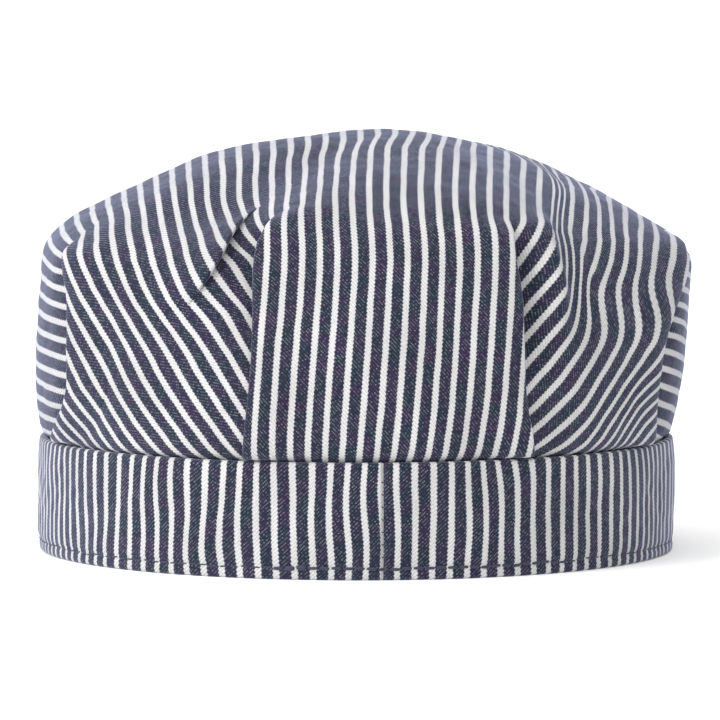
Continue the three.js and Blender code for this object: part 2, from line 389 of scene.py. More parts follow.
def edge_weights(local):
    """How stiffly each triangle holds the edge opposite to each of its corners."""
    weights = []
    for corner, (near, far) in enumerate(EDGES):
        one, two = local[:, near] - local[:, corner], local[:, far] - local[:, corner]
        area = np.abs(one[:, 0] * two[:, 1] - one[:, 1] * two[:, 0])
        weights.append(np.clip((one * two).sum(1) / area, *WEIGHT_LIMITS))
    return weights


def unroll(points, start, faces, pinned):
    """Flat places for the points, by turns of the best rotation of each triangle and one linear solve."""
    local = laid_flat(points, faces)
    weights = edge_weights(local)
    links = []
    for (near, far), weight in zip(faces.T[np.array(EDGES)], weights):
        links += [(near, far, weight), (far, near, weight)]
    rows, columns, pulls = (np.concatenate(parts) for parts in zip(*links))
    order = np.argsort(rows, kind="stable")
    columns, pulls = columns[order], pulls[order][:, None]
    row_starts = np.searchsorted(rows[order], np.arange(len(points)))
    diagonal = np.add.reduceat(pulls, row_starts)
    diagonal[pinned] += PIN_WEIGHT

    def apply(values):
        return diagonal * values - np.add.reduceat(pulls * values[columns], row_starts)

    flat = start
    for _ in range(FLATTEN_ROUNDS):
        spin = np.zeros((len(faces), 2, 2))
        for (near, far), weight in zip(EDGES, weights):
            moved = flat[faces[:, near]] - flat[faces[:, far]]
            original = local[:, near] - local[:, far]
            spin += weight[:, None, None] * moved[:, :, None] * original[:, None, :]
        angle = np.arctan2(spin[:, 1, 0] - spin[:, 0, 1], spin[:, 0, 0] + spin[:, 1, 1])
        cosine, sine = np.cos(angle), np.sin(angle)
        rotation = np.stack([np.stack([cosine, -sine], -1), np.stack([sine, cosine], -1)], 1)
        pull = np.zeros((len(points), 2))
        for (near, far), weight in zip(EDGES, weights):
            turned = np.einsum("tij,tj->ti", rotation, local[:, near] - local[:, far]) * weight[:, None]
            np.add.at(pull, faces[:, near], turned)
            np.add.at(pull, faces[:, far], -turned)
        flat = settle(apply, diagonal, flat, pull)
    return flat


def settle(apply, diagonal, values, target):
    """Values for which apply(values) comes close to the target, by conjugate gradients."""
    rest = target - apply(values)
    step = rest / diagonal
    strength = (rest * step).sum(0)
    for _ in range(SETTLE_STEPS):
        applied = apply(step)
        share = strength / ((step * applied).sum(0) + 1e-12)
        values = values + share * step
        rest = rest - share * applied
        scaled = rest / diagonal
        new_strength = (rest * scaled).sum(0)
        step = scaled + new_strength / (strength + 1e-12) * step
        strength = new_strength
    return values


def flat_cloth():
    """Flat places of the coarse grid's points: across the stripes, then along them."""
    points, azimuth, up = coarse_crown()
    steps_down = np.linalg.norm(np.diff(points, axis=2, append=points[:, :, -1:]), axis=-1)
    from_top = np.cumsum(steps_down[:, :, ::-1], axis=2)[:, :, ::-1]
    angle = np.radians(azimuth - CLOTH_TURN)
    start = np.stack([from_top * np.sin(angle), from_top * np.cos(angle)], -1)
    kept, index = welded_indices(up)
    points, start = points.reshape(-1, 3)[kept], start.reshape(-1, 2)[kept]
    return unroll(points, start, grid_triangles(index), index[0, 0, -1])[index]


def slide_at(panel, azimuth, up):
    """How far the cloth of a panel has slid across its stripes at each place."""
    turned = half_turns(azimuth)
    bent = RIDGE_BEND * np.clip((up - RIDGE_BEND_START) / (1 - RIDGE_BEND_START), 0, 1) ** 1.5
    turned = turned + bent * smoothstep(0, RIDGE_BEND_FULL, turned)
    slid = CLOTH_SHIFT
    for panels, azimuths, shares, slide in SLIDES:
        if panel in panels:
            slid = slid + slide * trapezoid(turned, azimuths) * trapezoid(up, shares)
    return slid


def trapezoid(value, corners):
    """Rises smoothly to one between the first two corners and falls between the last two."""
    sign = 1 if corners[-1] > corners[0] else -1
    first, second, third, fourth = (sign * corner for corner in corners)
    return smoothstep(first, second, sign * value) * (1 - smoothstep(third, fourth, sign * value))


# Mesh making
def add_mesh(name, points, faces, materials, cloth=None, face_materials=None):
    """A smooth shaded piece from points in millimetres, with places on the cloth as its UV map."""
    mesh = bpy.data.meshes.new(name)
    mesh.from_pydata(((points + RIM_MIDDLE) * MM).tolist(), [], [list(face) for face in faces])
    for material in materials:
        mesh.materials.append(material)
    if face_materials is not None:
        mesh.polygons.foreach_set("material_index", np.asarray(face_materials, dtype=np.int32))
    if cloth is not None:
        corner_points = np.empty(len(mesh.loops), dtype=np.int32)
        mesh.loops.foreach_get("vertex_index", corner_points)
        layer = mesh.uv_layers.new(name="cloth")
        layer.data.foreach_set("uv", np.asarray(cloth, dtype=np.float32)[corner_points].ravel())
    mesh.shade_smooth()
    piece = bpy.data.objects.new(name, mesh)
    bpy.context.scene.collection.objects.link(piece)
    return piece


def grid_faces(columns, rows, first=0):
    """Quads of a grid of points stored column by column, numbered from first and joined round its columns."""
    index = first + np.arange(columns * rows).reshape(columns, rows)
    following = np.roll(index, -1, axis=0)
    corners = index[:, 1:], following[:, 1:], following[:, :-1], index[:, :-1]
    return np.stack(corners, -1).reshape(-1, 4)


def sleeve_faces(sections, inside_out=False):
    """Quads between closed sections stored one after another, and a face over each end."""
    count, points_each = sections.shape[:2]
    index = np.arange(count * points_each).reshape(count, points_each)
    following = np.roll(index, -1, axis=1)
    quads = np.stack([index[:-1], index[1:], following[1:], following[:-1]], -1).reshape(-1, 4)
    faces = quads.tolist() + [index[0].tolist(), index[-1, ::-1].tolist()]
    return [face[::-1] for face in faces] if inside_out else faces


# Materials
def add_node(tree, kind, inputs=(), **settings):
    """A node with its settings, and its inputs set to values or linked to sockets."""
    node = tree.nodes.new(kind)
    for key, value in settings.items():
        setattr(node, key, value)
    set_inputs(tree, node, dict(inputs))
    return node


def set_inputs(tree, node, inputs):
    for key, value in inputs.items():
        if isinstance(value, bpy.types.NodeSocket):
            tree.links.new(value, node.inputs[key])
        else:
            node.inputs[key].default_value = value


def calc(tree, operation, *values):
    return add_node(tree, "ShaderNodeMath", enumerate(values), operation=operation).outputs[0]


def mix_colors(tree, share, first, second, blend="MIX"):
    inputs = {0: share, 6: first, 7: second}
    return add_node(tree, "ShaderNodeMix", inputs, data_type="RGBA", blend_type=blend).outputs[2]


def noise(tree, vector, scale, detail=2.0):
    inputs = {"Vector": vector, "Scale": scale, "Detail": detail}
    return add_node(tree, "ShaderNodeTexNoise", inputs).outputs[0]


def ramp(tree, value, low, high, start=0.0, end=1.0):
    """Value from low to high mapped smoothly to start to end."""
    inputs = {0: value, 1: low, 2: high, 3: start, 4: end}
    return add_node(tree, "ShaderNodeMapRange", inputs, interpolation_type="SMOOTHSTEP").outputs[0]


def new_material(name):
    material = bpy.data.materials.new(name)
    material.use_nodes = True
    tree = material.node_tree
    return material, tree, tree.nodes["Principled BSDF"]


# Looks of the cloth. Noise scales count per millimetre of cloth.
SOFT_EDGE = 0.035  # half of a stripe's soft edge, in pitches
WANDER_SCALE = 0.12
WANDER = 0.5  # how far the stripes' edges wander in all
STEP_LENGTH = 0.55  # along the cloth, of the small steps in those edges
STEP_MIDDLE = 0.14
TWILL_REPEAT = 3  # crossings until the pale yarn shows again
FLECK_POWER = 1.6  # the higher, the fewer flecks are bright
FIBRE_SCALE, FIBRE_DETAIL = 1.7, 3.0
CLOUD_SCALE = 0.05
DYE_SCALE = 0.17
FUZZ_SCALE, FUZZ_DETAIL = 2.5, 4.0
TWILL_DEPTH = 0.00022  # metres
SHEEN = 0.42
SHEEN_TINT = (0.64, 0.70, 1.0)


def stripe_whiteness(tree, place_on_cloth, across, along):
    """One in the white stripes and zero in the dark ones. Their edges wander and step with the twill."""
    wander = calc(tree, "MULTIPLY_ADD", noise(tree, place_on_cloth, WANDER_SCALE), WANDER, -WANDER / 2)
    step = calc(tree, "MULTIPLY_ADD", calc(tree, "PINGPONG", along, STEP_LENGTH), 0.5, -STEP_MIDDLE)
    moved = calc(tree, "ADD", calc(tree, "ADD", across, wander), step)
    from_white = calc(tree, "PINGPONG", calc(tree, "DIVIDE", moved, STRIPE_PITCH), 0.5)
    return ramp(tree, from_white, WHITE_SHARE / 2 - SOFT_EDGE, WHITE_SHARE / 2 + SOFT_EDGE, 1.0, 0.0)


def twill(tree, across, along):
    """Where the pale yarn shows over the dyed one, and how pale it is there, with a mean of one."""
    yarn = calc(tree, "FLOOR", calc(tree, "DIVIDE", across, YARN))
    pick = calc(tree, "FLOOR", calc(tree, "DIVIDE", along, PICK))
    crossing = calc(tree, "FLOORED_MODULO", calc(tree, "ADD", yarn, pick), TWILL_REPEAT)
    pale_shows = calc(tree, "LESS_THAN", crossing, 0.5)
    cell = add_node(tree, "ShaderNodeCombineXYZ", {0: yarn, 1: pick}).outputs[0]
    chance = add_node(tree, "ShaderNodeTexWhiteNoise", {"Vector": cell}, noise_dimensions="2D").outputs[0]
    return pale_shows, calc(tree, "MULTIPLY", calc(tree, "POWER", chance, FLECK_POWER), 1 + FLECK_POWER)


def hickory_cloth(name, navy, purple, white, fleck):
    """Twill with navy and white stripes, woven from the cloth's own coordinates in millimetres."""
    material, tree, shader = new_material(name)
    place_on_cloth = add_node(tree, "ShaderNodeUVMap", uv_map="cloth").outputs[0]
    across, along, _ = add_node(tree, "ShaderNodeSeparateXYZ", {0: place_on_cloth}).outputs
    whiteness = stripe_whiteness(tree, place_on_cloth, across, along)
    pale_shows, paleness = twill(tree, across, along)
    uneven = noise(tree, place_on_cloth, FIBRE_SCALE, FIBRE_DETAIL)
    cloudy = noise(tree, place_on_cloth, CLOUD_SCALE, FIBRE_DETAIL)

    # The dye runs between navy and purple, and both kinds of stripe vary in brightness.
    dye = ramp(tree, noise(tree, place_on_cloth, DYE_SCALE), 0.35, 0.65)
    fleck_share = calc(tree, "MULTIPLY", pale_shows, calc(tree, "MULTIPLY", paleness, fleck))
    dyed = mix_colors(tree, fleck_share, mix_colors(tree, dye, (*navy, 1), (*purple, 1)), (*white, 1))
    # Where the crossing yarn shows in the white stripes, a quarter of navy is mixed in: painted shade along
    # the twill's lines.
    pale = mix_colors(tree, calc(tree, "MULTIPLY", pale_shows, 0.25), (*white, 1), (*navy, 1))
    color = mix_colors(tree, whiteness, dyed, pale)
    clouds, fibres = (calc(tree, "MULTIPLY_ADD", field, 0.5, 0.75) for field in (cloudy, uneven))
    brightness = calc(tree, "MULTIPLY", clouds, fibres)
    shaded = mix_colors(tree, 1.0, color, brightness, "MULTIPLY")

    # Relief of the twill's diagonal ribs and of stray fibres
    diagonal = calc(tree, "DIVIDE", calc(tree, "ADD", across, along), TWILL_REPEAT * YARN)
    ribs = calc(tree, "PINGPONG", diagonal, 0.5)
    fuzz = noise(tree, place_on_cloth, FUZZ_SCALE, FUZZ_DETAIL)
    relief = calc(tree, "ADD", ribs, calc(tree, "MULTIPLY", fuzz, 0.8))
    bump = add_node(tree, "ShaderNodeBump", {"Height": relief, "Strength": 0.5, "Distance": TWILL_DEPTH})

    sheen = calc(tree, "MULTIPLY_ADD", uneven, SHEEN, 0.35 * SHEEN)
    set_inputs(tree, shader, {
        "Base Color": shaded,
        "Normal": bump.outputs[0],
        "Roughness": calc(tree, "MULTIPLY_ADD", uneven, 0.15, 0.8),
        "Specular IOR Level": 0.2,
        "Sheen Weight": calc(tree, "MULTIPLY_ADD", pale_shows, 0.45 * SHEEN, sheen),
        "Sheen Roughness": 0.45,
        "Sheen Tint": (*SHEEN_TINT, 1),
    })
    return material


STRAND_SCALE = 6000.0  # per metre
STRAND_SHADES = (0.6, 1.4)  # of the thread's own colour
STRAND_DEPTH = 0.0001  # metres


def thread(name, base):
    """Twisted sewing thread."""
    material, tree, shader = new_material(name)
    place_on_thread = add_node(tree, "ShaderNodeTexCoord").outputs["Object"]
    strands = noise(tree, place_on_thread, STRAND_SCALE)
    dark, bright = ((*(shade * value for value in base), 1) for shade in STRAND_SHADES)
    bump = add_node(tree, "ShaderNodeBump", {"Height": strands, "Strength": 0.4, "Distance": STRAND_DEPTH})
    color = mix_colors(tree, strands, dark, bright)
    inputs = {"Base Color": color, "Normal": bump.outputs[0], "Roughness": 0.6, "Sheen Weight": 0.2}
    set_inputs(tree, shader, inputs)
    return material


NAVY = (0.007, 0.017, 0.030)
PURPLE = (0.020, 0.012, 0.040)
WHITE = (0.58, 0.57, 0.57)
FLECK = 0.09  # share of white in the pale yarns that show in the dark stripes
WRONG_NAVY = (0.12, 0.13, 0.20)
WRONG_PURPLE = (0.14, 0.13, 0.21)
WRONG_FLECK = 0.5
THREAD_NAVY = (0.022, 0.025, 0.055)
right_side = hickory_cloth("hickory_cloth", NAVY, PURPLE, WHITE, FLECK)
wrong_side = hickory_cloth("hickory_cloth_wrong_side", WRONG_NAVY, WRONG_PURPLE, WHITE, WRONG_FLECK)
navy_thread = thread("navy_thread", THREAD_NAVY)


# Crown
CROWN_ROWS = 150
COLUMN_STEP = 1.8  # widest spacing of a panel's columns
FEWEST_COLUMNS = 8  # of a panel
OVER_COLUMNS = 5  # round a folded edge
UNDER_COLUMNS = 2  # below it: the end of the cloth that goes under, then the cloth that it lies on
UNDER_PAST = (0, 0.2)  # how far past FOLD_UNDER those two lie
UNDER_PAST_ALONG = (1.2, 0.5)  # the same, along the cloth
UNDER_DROP = 2.1  # from the fold's top down to the first of the two, in radii of the folded edge
UNDER_REST = 0.1  # height of the second
CROWN_WRINKLES = ((0.22, 11, 26), (0.06, 12, 7))  # height, seed and wavelength of each layer
HEM_ROWS = 4
HEM_HEIGHTS = np.linspace(BAND_HEIGHT - HEM_DEPTH, BAND_HEIGHT, HEM_ROWS + 1)[:-1]
INSIDE_COLUMNS = 240
INSIDE_ROWS = 80
INSIDE_TOP = 0.995  # of the way up a meridian, where one flat face closes the inside
INSIDE_DEPTH = 2.5  # thicknesses of cloth from the outside to the inside
INSIDE_RELIEF = 1.15  # the inside's pockets, as a share of the outside's
INSIDE_BLEND = 6.0  # how far past a panel's pleats its pockets move the inside


def fold_shape(height):
    """Where the columns of a folded edge lie: toward the cloth under it, above it, and along the cloth."""
    turn = np.linspace(0, math.pi, OVER_COLUMNS + 1)[1:]
    toward = np.append(FOLD_ROUND * (np.sin(turn) - 1), -FOLD_UNDER - np.array(UNDER_PAST))
    under = (height - UNDER_DROP * FOLD_ROUND, UNDER_REST)
    above = np.append(height + FOLD_ROUND * (np.cos(turn) - 1), under)
    length = np.append(FOLD_ROUND * (turn - 1), -FOLD_UNDER - np.array(UNDER_PAST_ALONG))
    return toward[:, None], above[:, None], length[:, None]


def fold_shares(starts, along):
    """How far each pleat is folded, from nothing to one, along the meridians."""
    ups = meridian(starts, along)[1]
    return np.stack([
        between(up, bottom, FOLD_START, top, FOLD_END) for (*_, bottom, top, _, _), up in zip(PLEATS, ups)
    ])


def crown_grid():
    """Rows' places on a meridian, and each point's azimuth, height over the form and place on the cloth."""
    along = np.linspace(0, 1, CROWN_ROWS + 1)[:-1]
    row_places = (along * MERIDIAN_STEPS)[:, None, None, None]
    flat = np.moveaxis(cubic_read(np.moveaxis(flat_cloth(), 2, 0), row_places), 0, 2)
    starts, spans, widths = panel_frames(along)
    folded = fold_shares(starts, along)
    spreads = np.minimum(FOLD_SPREAD, FOLD_SPREAD_SHARE * np.minimum(widths, np.roll(widths, 1, axis=0)))
    azimuths, heights, cloth = [], [], []

    def add_columns(panel, distance, height, cloth_distance):
        """Columns of a panel at a distance from its start, raised over its relief."""
        azimuth = starts[panel] + distance / widths[panel] * spans[panel]
        up = meridian(azimuth, along)[1]
        azimuths.append(azimuth)
        heights.append(height + relief(panel, distance, widths[panel] - distance, up))
        places = cloth_distance / widths[panel] * PANEL_STEPS
        cloth.append(cubic_read(flat[panel], places[..., None]))
        cloth[-1][..., 0] += slide_at(panel, azimuth, up)

    def panel_edge(laps_over, share, spread):
        """How far inside its pleat a panel's last column lies."""
        return (FOLD_ROUND if laps_over else -FOLD_UNDER) * share + spread * (1 - share)

    for panel in PANELS:
        following = (panel + 1) % len(PLEATS)
        width = widths[panel]
        start_height, starts_over = PLEATS[panel][-2], PLEATS[panel][-1] == 1
        end_height, ends_over = PLEATS[following][-2], PLEATS[following][-1] == -1
        start_fold, end_fold = folded[panel], folded[following]
        end_spread = spreads[following]
        first = panel_edge(starts_over, start_fold, spreads[panel])
        last = width - panel_edge(ends_over, end_fold, end_spread)
        steps = np.linspace(0, 1, max(FEWEST_COLUMNS, round(width.max() / COLUMN_STEP)))[:, None]
        distance = first * (1 - steps) + last * steps
        height = 0 * distance
        if starts_over:
            height += start_height * start_fold * (1 - smoothstep(0, FOLD_FADE, distance - first))
        if ends_over:
            height += end_height * end_fold * (1 - smoothstep(0, FOLD_FADE, last - distance))
        add_columns(panel, distance, height, distance)

        # The fold at the panel's end. Where the pleat has run out, its columns open up side by side.
        toward, above, length = fold_shape(end_height)
        fold_columns = OVER_COLUMNS + UNDER_COLUMNS
        opened = np.linspace(-end_spread, end_spread, fold_columns + 2)[1:-1]
        toward, length = (folding * end_fold + opened * (1 - end_fold) for folding in (toward, length))
        side = 1 if ends_over else -1
        over, under = (panel, following) if ends_over else (following, panel)
        for of_panel, part in ((over, slice(0, OVER_COLUMNS)), (under, slice(OVER_COLUMNS, fold_columns))):
            start = width if of_panel == panel else 0 * width
            add_columns(
                of_panel, start + side * toward[part], (above * end_fold)[part], start + side * length[part])
            azimuths[-1] = azimuths[-1] + (360 if of_panel < panel else 0)
        if not ends_over:
            for parts in (azimuths, heights, cloth):
                parts[-2:] = [np.concatenate(parts[-2:])[::-1]]
    return along, np.concatenate(azimuths), np.concatenate(heights), np.concatenate(cloth)


def inside_relief(azimuth, along):
    """How far the inside of the crown moves from its form, below the deepest cloth at each place."""
    up = meridian(azimuth, along)[1]
    deepest = 0 * azimuth
    for panel, (start, span, width) in enumerate(zip(*panel_frames(along[0]))):
        distance = ((azimuth - start + 90) % 360 - 90) / span * width
        within = between(distance, 0, (INSIDE_BLEND, 0), width, (0, INSIDE_BLEND))
        deepest = np.minimum(deepest, relief(panel, distance, width - distance, up) * within)
    return INSIDE_RELIEF * deepest - INSIDE_DEPTH * CLOTH


def crown_outside():
    """Points, faces and places on the cloth of the crown's outside, with its hem behind the band."""
    along, azimuth, height, cloth = crown_grid()
    texture = wrinkles(cloth[..., 0], cloth[..., 1], CROWN_WRINKLES)
    outside = crown_surface(azimuth, along, height + texture)
    seat = rim_radius(azimuth[:, :1]) - BAND_WALL - SEAM_GAP
    hem = place(azimuth[:, :1], seat, HEM_HEIGHTS[None, :])
    turned_in = place(azimuth[:, :1], seat - CLOTH, HEM_HEIGHTS[None, :1])
    points = np.concatenate([turned_in, hem, outside], 1)
    top = crown_surface(np.zeros(1), np.ones(1))

    slope = cloth[:, 1] - cloth[:, 0]
    slope /= np.linalg.norm(slope, axis=-1, keepdims=True)
    hem_cloth = cloth[:, :1] + slope[:, None] * (HEM_HEIGHTS - BAND_HEIGHT)[None, :, None]
    places = np.concatenate([hem_cloth[:, :1], hem_cloth, cloth], 1).reshape(-1, 2)

    columns, rows = points.shape[:2]
    last = np.arange(columns) * rows + rows - 1
    top_faces = np.stack([np.full(columns, columns * rows), np.roll(last, -1), last], -1)
    faces = grid_faces(columns, rows).tolist() + top_faces.tolist()
    return np.concatenate([points.reshape(-1, 3), top]), faces, np.concatenate([places, np.zeros((1, 2))])


def crown_inside(first):
    """Points of the crown's inside, and its faces with the points numbered from first."""
    columns = np.linspace(0, 360, INSIDE_COLUMNS, endpoint=False)
    azimuth, along = np.meshgrid(columns, np.linspace(0, INSIDE_TOP, INSIDE_ROWS), indexing="ij")
    inside = crown_surface(azimuth, along, inside_relief(azimuth, along))
    seat = rim_radius(azimuth[:, :1]) - BAND_WALL - SEAM_GAP
    points = np.concatenate([place(azimuth[:, :1], seat - CLOTH, HEM_HEIGHTS[:1]), inside], 1)
    rows = points.shape[1]
    top = first + np.arange(1, INSIDE_COLUMNS + 1) * rows - 1
    faces = grid_faces(INSIDE_COLUMNS, rows, first)[:, ::-1].tolist() + [top.tolist()]
    return points.reshape(-1, 3), faces


def build_crown():
    outside, outside_faces, places = crown_outside()
    inside, inside_faces = crown_inside(len(outside))
    points, places = np.concatenate([outside, inside]), np.concatenate([places, inside[:, :2]])
    faces, sides = outside_faces + inside_faces, [0] * len(outside_faces) + [1] * len(inside_faces)
    crown = add_mesh("crown_cloth", points, faces, [right_side, wrong_side], places, sides)
    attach(crown, "root")
    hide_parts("crown")


# Band
SEAM_AZIMUTH = 0.5
RIM_STEPS = 7200  # round the rim, to measure distances along it
BAND_STEP = 0.9  # spacing of the band's columns
SEAM_COLUMNS = 33  # closer together, beside the seam
SEAM_REACH = 2.0  # how far from the seam those reach
BAND_EDGE = 0.7  # how far up the band's edges are rounded
BAND_EDGE_STEPS = 8
BAND_FACE_STEPS = 48
BAND_INNER_SHARE = 4  # steps of the outer face for each step of the inner one
BAND_INSET = 0.1  # how far its edges lie inside the rim
BAND_WRINKLES = ((0.18, 21, 24), (0.05, 22, 6))  # height, seed and wavelength of each layer
BAND_STRIPE_WAVES = (0.35, 23, 30)  # the same, for its stripes
TOPSTITCH_HEIGHT = 3.2
TOPSTITCH_PITCH = 3.2
TOPSTITCH_DENT, TOPSTITCH_DENT_WIDTH = 0.35, 0.9
SEAM_DENT, SEAM_DENT_WIDTH = 0.9, 0.5
WHITE_BESIDE_SEAM = (-4.1, 4.8)  # where the first white stripe on each side of the seam is

# How far the band's stripes have slid from even spacing, by distance round the rim from the seam
BAND_SLIDES = np.array([
    (-135, 0.0), (-110, -3.8), (-99, -0.9), (-91, 1.0), (-75, 2.6), (-54, 1.8), (-33, 0.1), (0, 0.0),
    (25, -0.7), (45, -1.8), (66, -4.0), (88, -5.9), (105, -6.0), (122, -2.4), (140, 0.0),
])


def distances_along(points):
    """How far each point is from the first, along the line through them."""
    return np.cumsum(np.linalg.norm(np.diff(points, axis=0, prepend=points[:1]), axis=1))


def rim_walk():
    """Azimuths once round the rim from the seam, and the distances from it."""
    azimuth = np.linspace(0, 360, RIM_STEPS + 1) + SEAM_AZIMUTH
    points = place(azimuth, rim_radius(azimuth), 0 * azimuth)[:, :2]
    return azimuth, distances_along(points)


def band_section():
    """Inset from the rim and height of the band's section, from its inner edge under, out and over."""
    turn = np.linspace(0, math.pi, BAND_EDGE_STEPS + 1)[1:-1]
    across, over = BAND_WALL / 2 * (1 + np.cos(turn)), BAND_EDGE * np.sin(turn)
    low = np.stack([across, BAND_EDGE - over], -1)
    high = np.stack([across[::-1], BAND_HEIGHT - BAND_EDGE + over], -1)
    heights = np.linspace(BAND_EDGE, BAND_HEIGHT - BAND_EDGE, BAND_FACE_STEPS + 1)
    inner_heights = heights[::-BAND_INNER_SHARE]
    outer = np.stack([0 * heights, heights], -1)
    inner = np.stack([0 * inner_heights + BAND_WALL, inner_heights], -1)
    return np.concatenate([low, outer, high, inner])


def band_relief(distance, height):
    """How far the band's outer face stands out from the rim."""
    share = height / BAND_HEIGHT
    swell = BAND_PUFF * (1 - (2 * share - 1) ** 4) - BAND_INSET
    waves = wrinkles(distance, height, BAND_WRINKLES)
    stitched = -TOPSTITCH_DENT * np.exp(-(((height - TOPSTITCH_HEIGHT) / TOPSTITCH_DENT_WIDTH) ** 2))
    seam = -SEAM_DENT * np.exp(-((distance / SEAM_DENT_WIDTH) ** 2))
    return np.minimum(swell + waves * share * (1 - share) * 4, BAND_PUFF) + stitched + seam


def band_point(distance, height, out):
    """Points that stand out from the band's outer face, by distance round the rim and height."""
    azimuths, distances = rim_walk()
    azimuth = np.interp(distance % distances[-1], distances, azimuths)
    return place(azimuth, rim_radius(azimuth) + band_relief(distance, height) + out, height)


# Stitches
STRAND_RINGS = 9
STRAND_SIDES = 6
STRAND_ENDS = np.array([(0, 1, 2, 3), (3, 4, 5, 0)])  # two faces that close six sides
TOPSTITCH_JITTER = (0.12, 0.1)  # of the stitches' heights at their starts, and of each one's slant

# Half of a topstitch's length in pitches, and its thickness, by distance from the seam
TOPSTITCH_HALVES = np.array([(-60, 0.46), (-52, 0.53), (30, 0.53), (36, 0.46)])
TOPSTITCH_THICKNESSES = np.array([(-60, 0.45), (-50, 0.85), (20, 0.85), (23, 1.5), (27, 1.3), (32, 0.45)])

SEAM_STITCH_PITCH = 3.4
SEAM_STITCH_MARGINS = (6, 3)  # below the lowest and above the highest of them
SEAM_STITCH_HALF = 0.7
SEAM_STITCH_SLANT = 0.5
SEAM_STITCH_THICKNESS = 0.35


def add_stitches(name, starts, ends, thicknesses):
    """One thread for each stitch: a rounded strand between two places on the band, its ends sunk in."""
    strands = []
    steps = np.linspace(-1, 1, STRAND_RINGS)
    profile = np.sqrt(np.clip(1 - steps**4, 0, 1))
    turn = np.linspace(0, 2 * math.pi, STRAND_SIDES + 1)[:-1]
    for start, end, thickness in zip(starts, ends, thicknesses):
        along, up = end[0] - start[0], end[1] - start[1]
        length = math.hypot(along, up)
        distance = start[0] + (steps + 1) / 2 * along
        height = start[1] + (steps + 1) / 2 * up
        radius = thickness / 2 * (0.5 + 0.5 * profile)
        aside = radius[:, None] * np.cos(turn)
        out = radius[:, None] * np.sin(turn) + (thickness * (profile - 1))[:, None]
        strands.append(band_point(
            distance[:, None] - aside * up / length, height[:, None] + aside * along / length, out))
    points = np.array(strands).swapaxes(1, 2).reshape(-1, 3)
    ends = STRAND_ENDS * STRAND_RINGS
    strand_faces = np.concatenate([
        grid_faces(STRAND_SIDES, STRAND_RINGS), ends, ends[:, ::-1] + STRAND_RINGS - 1,
    ])
    faces = np.concatenate([
        strand_faces + strand * STRAND_SIDES * STRAND_RINGS for strand in range(len(strands))
    ])
    piece = add_mesh(name, points, faces, [navy_thread])
    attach(piece, "root")
    return piece


def build_band_stitches():
    """The row of dark topstitching along the band's lower edge, and a few stitches that close its seam."""
    total = rim_walk()[1][-1]
    random = np.random.default_rng(31)
    count = round(total / TOPSTITCH_PITCH)
    middles = (np.arange(count) + 0.5) / count * total - total / 2
    start_jitter, slant_jitter = TOPSTITCH_JITTER
    start_heights = (TOPSTITCH_HEIGHT + random.normal(0, start_jitter, count + 1))[:-1]
    end_heights = start_heights + random.normal(0, slant_jitter, count)
    halves = TOPSTITCH_PITCH * np.interp(middles, *TOPSTITCH_HALVES.T)
    row = add_stitches(
        "band_topstitch",
        zip(middles - halves, start_heights),
        zip(middles + halves, end_heights),
        np.interp(middles, *TOPSTITCH_THICKNESSES.T))

    below, above = SEAM_STITCH_MARGINS
    heights = np.arange(below, BAND_HEIGHT - above, SEAM_STITCH_PITCH)
    seam = add_stitches(
        "band_seam_stitch",
        [(-SEAM_STITCH_HALF, height) for height in heights],
        [(SEAM_STITCH_HALF, height + SEAM_STITCH_SLANT) for height in heights],
        [SEAM_STITCH_THICKNESS] * len(heights))


def build_band():
    azimuths, distances = rim_walk()
    total = distances[-1]
    even = np.linspace(-total / 2, total / 2, round(total / BAND_STEP))
    beside_seam = np.linspace(-SEAM_REACH, SEAM_REACH, SEAM_COLUMNS)
    distance = np.concatenate([even[even < -SEAM_REACH], beside_seam, even[even > SEAM_REACH]])[:, None]
    section = band_section()
    inset, height = section[None, :, 0], section[None, :, 1]
    azimuth = np.interp(distance % total, distances, azimuths)
    radius = rim_radius(azimuth) - inset + band_relief(distance, height) * (inset < BAND_WALL / 2)
    points = place(azimuth, radius, height)

    slide = np.interp(distance, *BAND_SLIDES.T)
    white_start = np.where(distance < 0, *WHITE_BESIDE_SEAM)
    across = distance + slide - white_start + wrinkles(distance, height, [BAND_STRIPE_WAVES])
    cloth = np.stack([across, np.broadcast_to(distances_along(section), across.shape)], -1)
    band = add_mesh(
        "band_cloth", points.reshape(-1, 3), sleeve_faces(points, inside_out=True), [right_side],
        cloth.reshape(-1, 2))
    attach(band, "root")
    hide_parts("band")


# Visor
VISOR_REACH = 62.0  # from the band to the middle of its outer edge
VISOR_WALL = 3.0
VISOR_GROUND = 0.6  # height of its lowest points
VISOR_DROOP = 0.55  # share of its root's height that it loses toward its outer edge
VISOR_SPLAY = 0.28  # how much wider it gets toward that edge
VISOR_END = 0.995  # share of its root that has a column of points
VISOR_EDGE_SHARE = 0.25  # of its thickness above and below the middle, at its outer edge
VISOR_COLUMNS = 120
VISOR_ROWS = 36


def visor_point(across, out, share):
    """Points of the visor: across -1 to 1 along its root, out 0 to 1, and the share of its thickness."""
    azimuth = 180 + across * VISOR_HALF_ANGLE
    root = place(azimuth, rim_radius(azimuth) + BAND_WALL / 4 + SEAM_GAP, 0 * azimuth)
    reach = VISOR_REACH * np.sqrt(np.clip(1 - across**2, 0, 1)) * out
    x = root[..., 0] * (1 + reach * VISOR_SPLAY / RIM_HALF_WIDTH)
    z = VISOR_GROUND + root[..., 2] * (1 - VISOR_DROOP * out**2) + VISOR_WALL * share
    return np.stack([x, root[..., 1] - reach, z], -1)


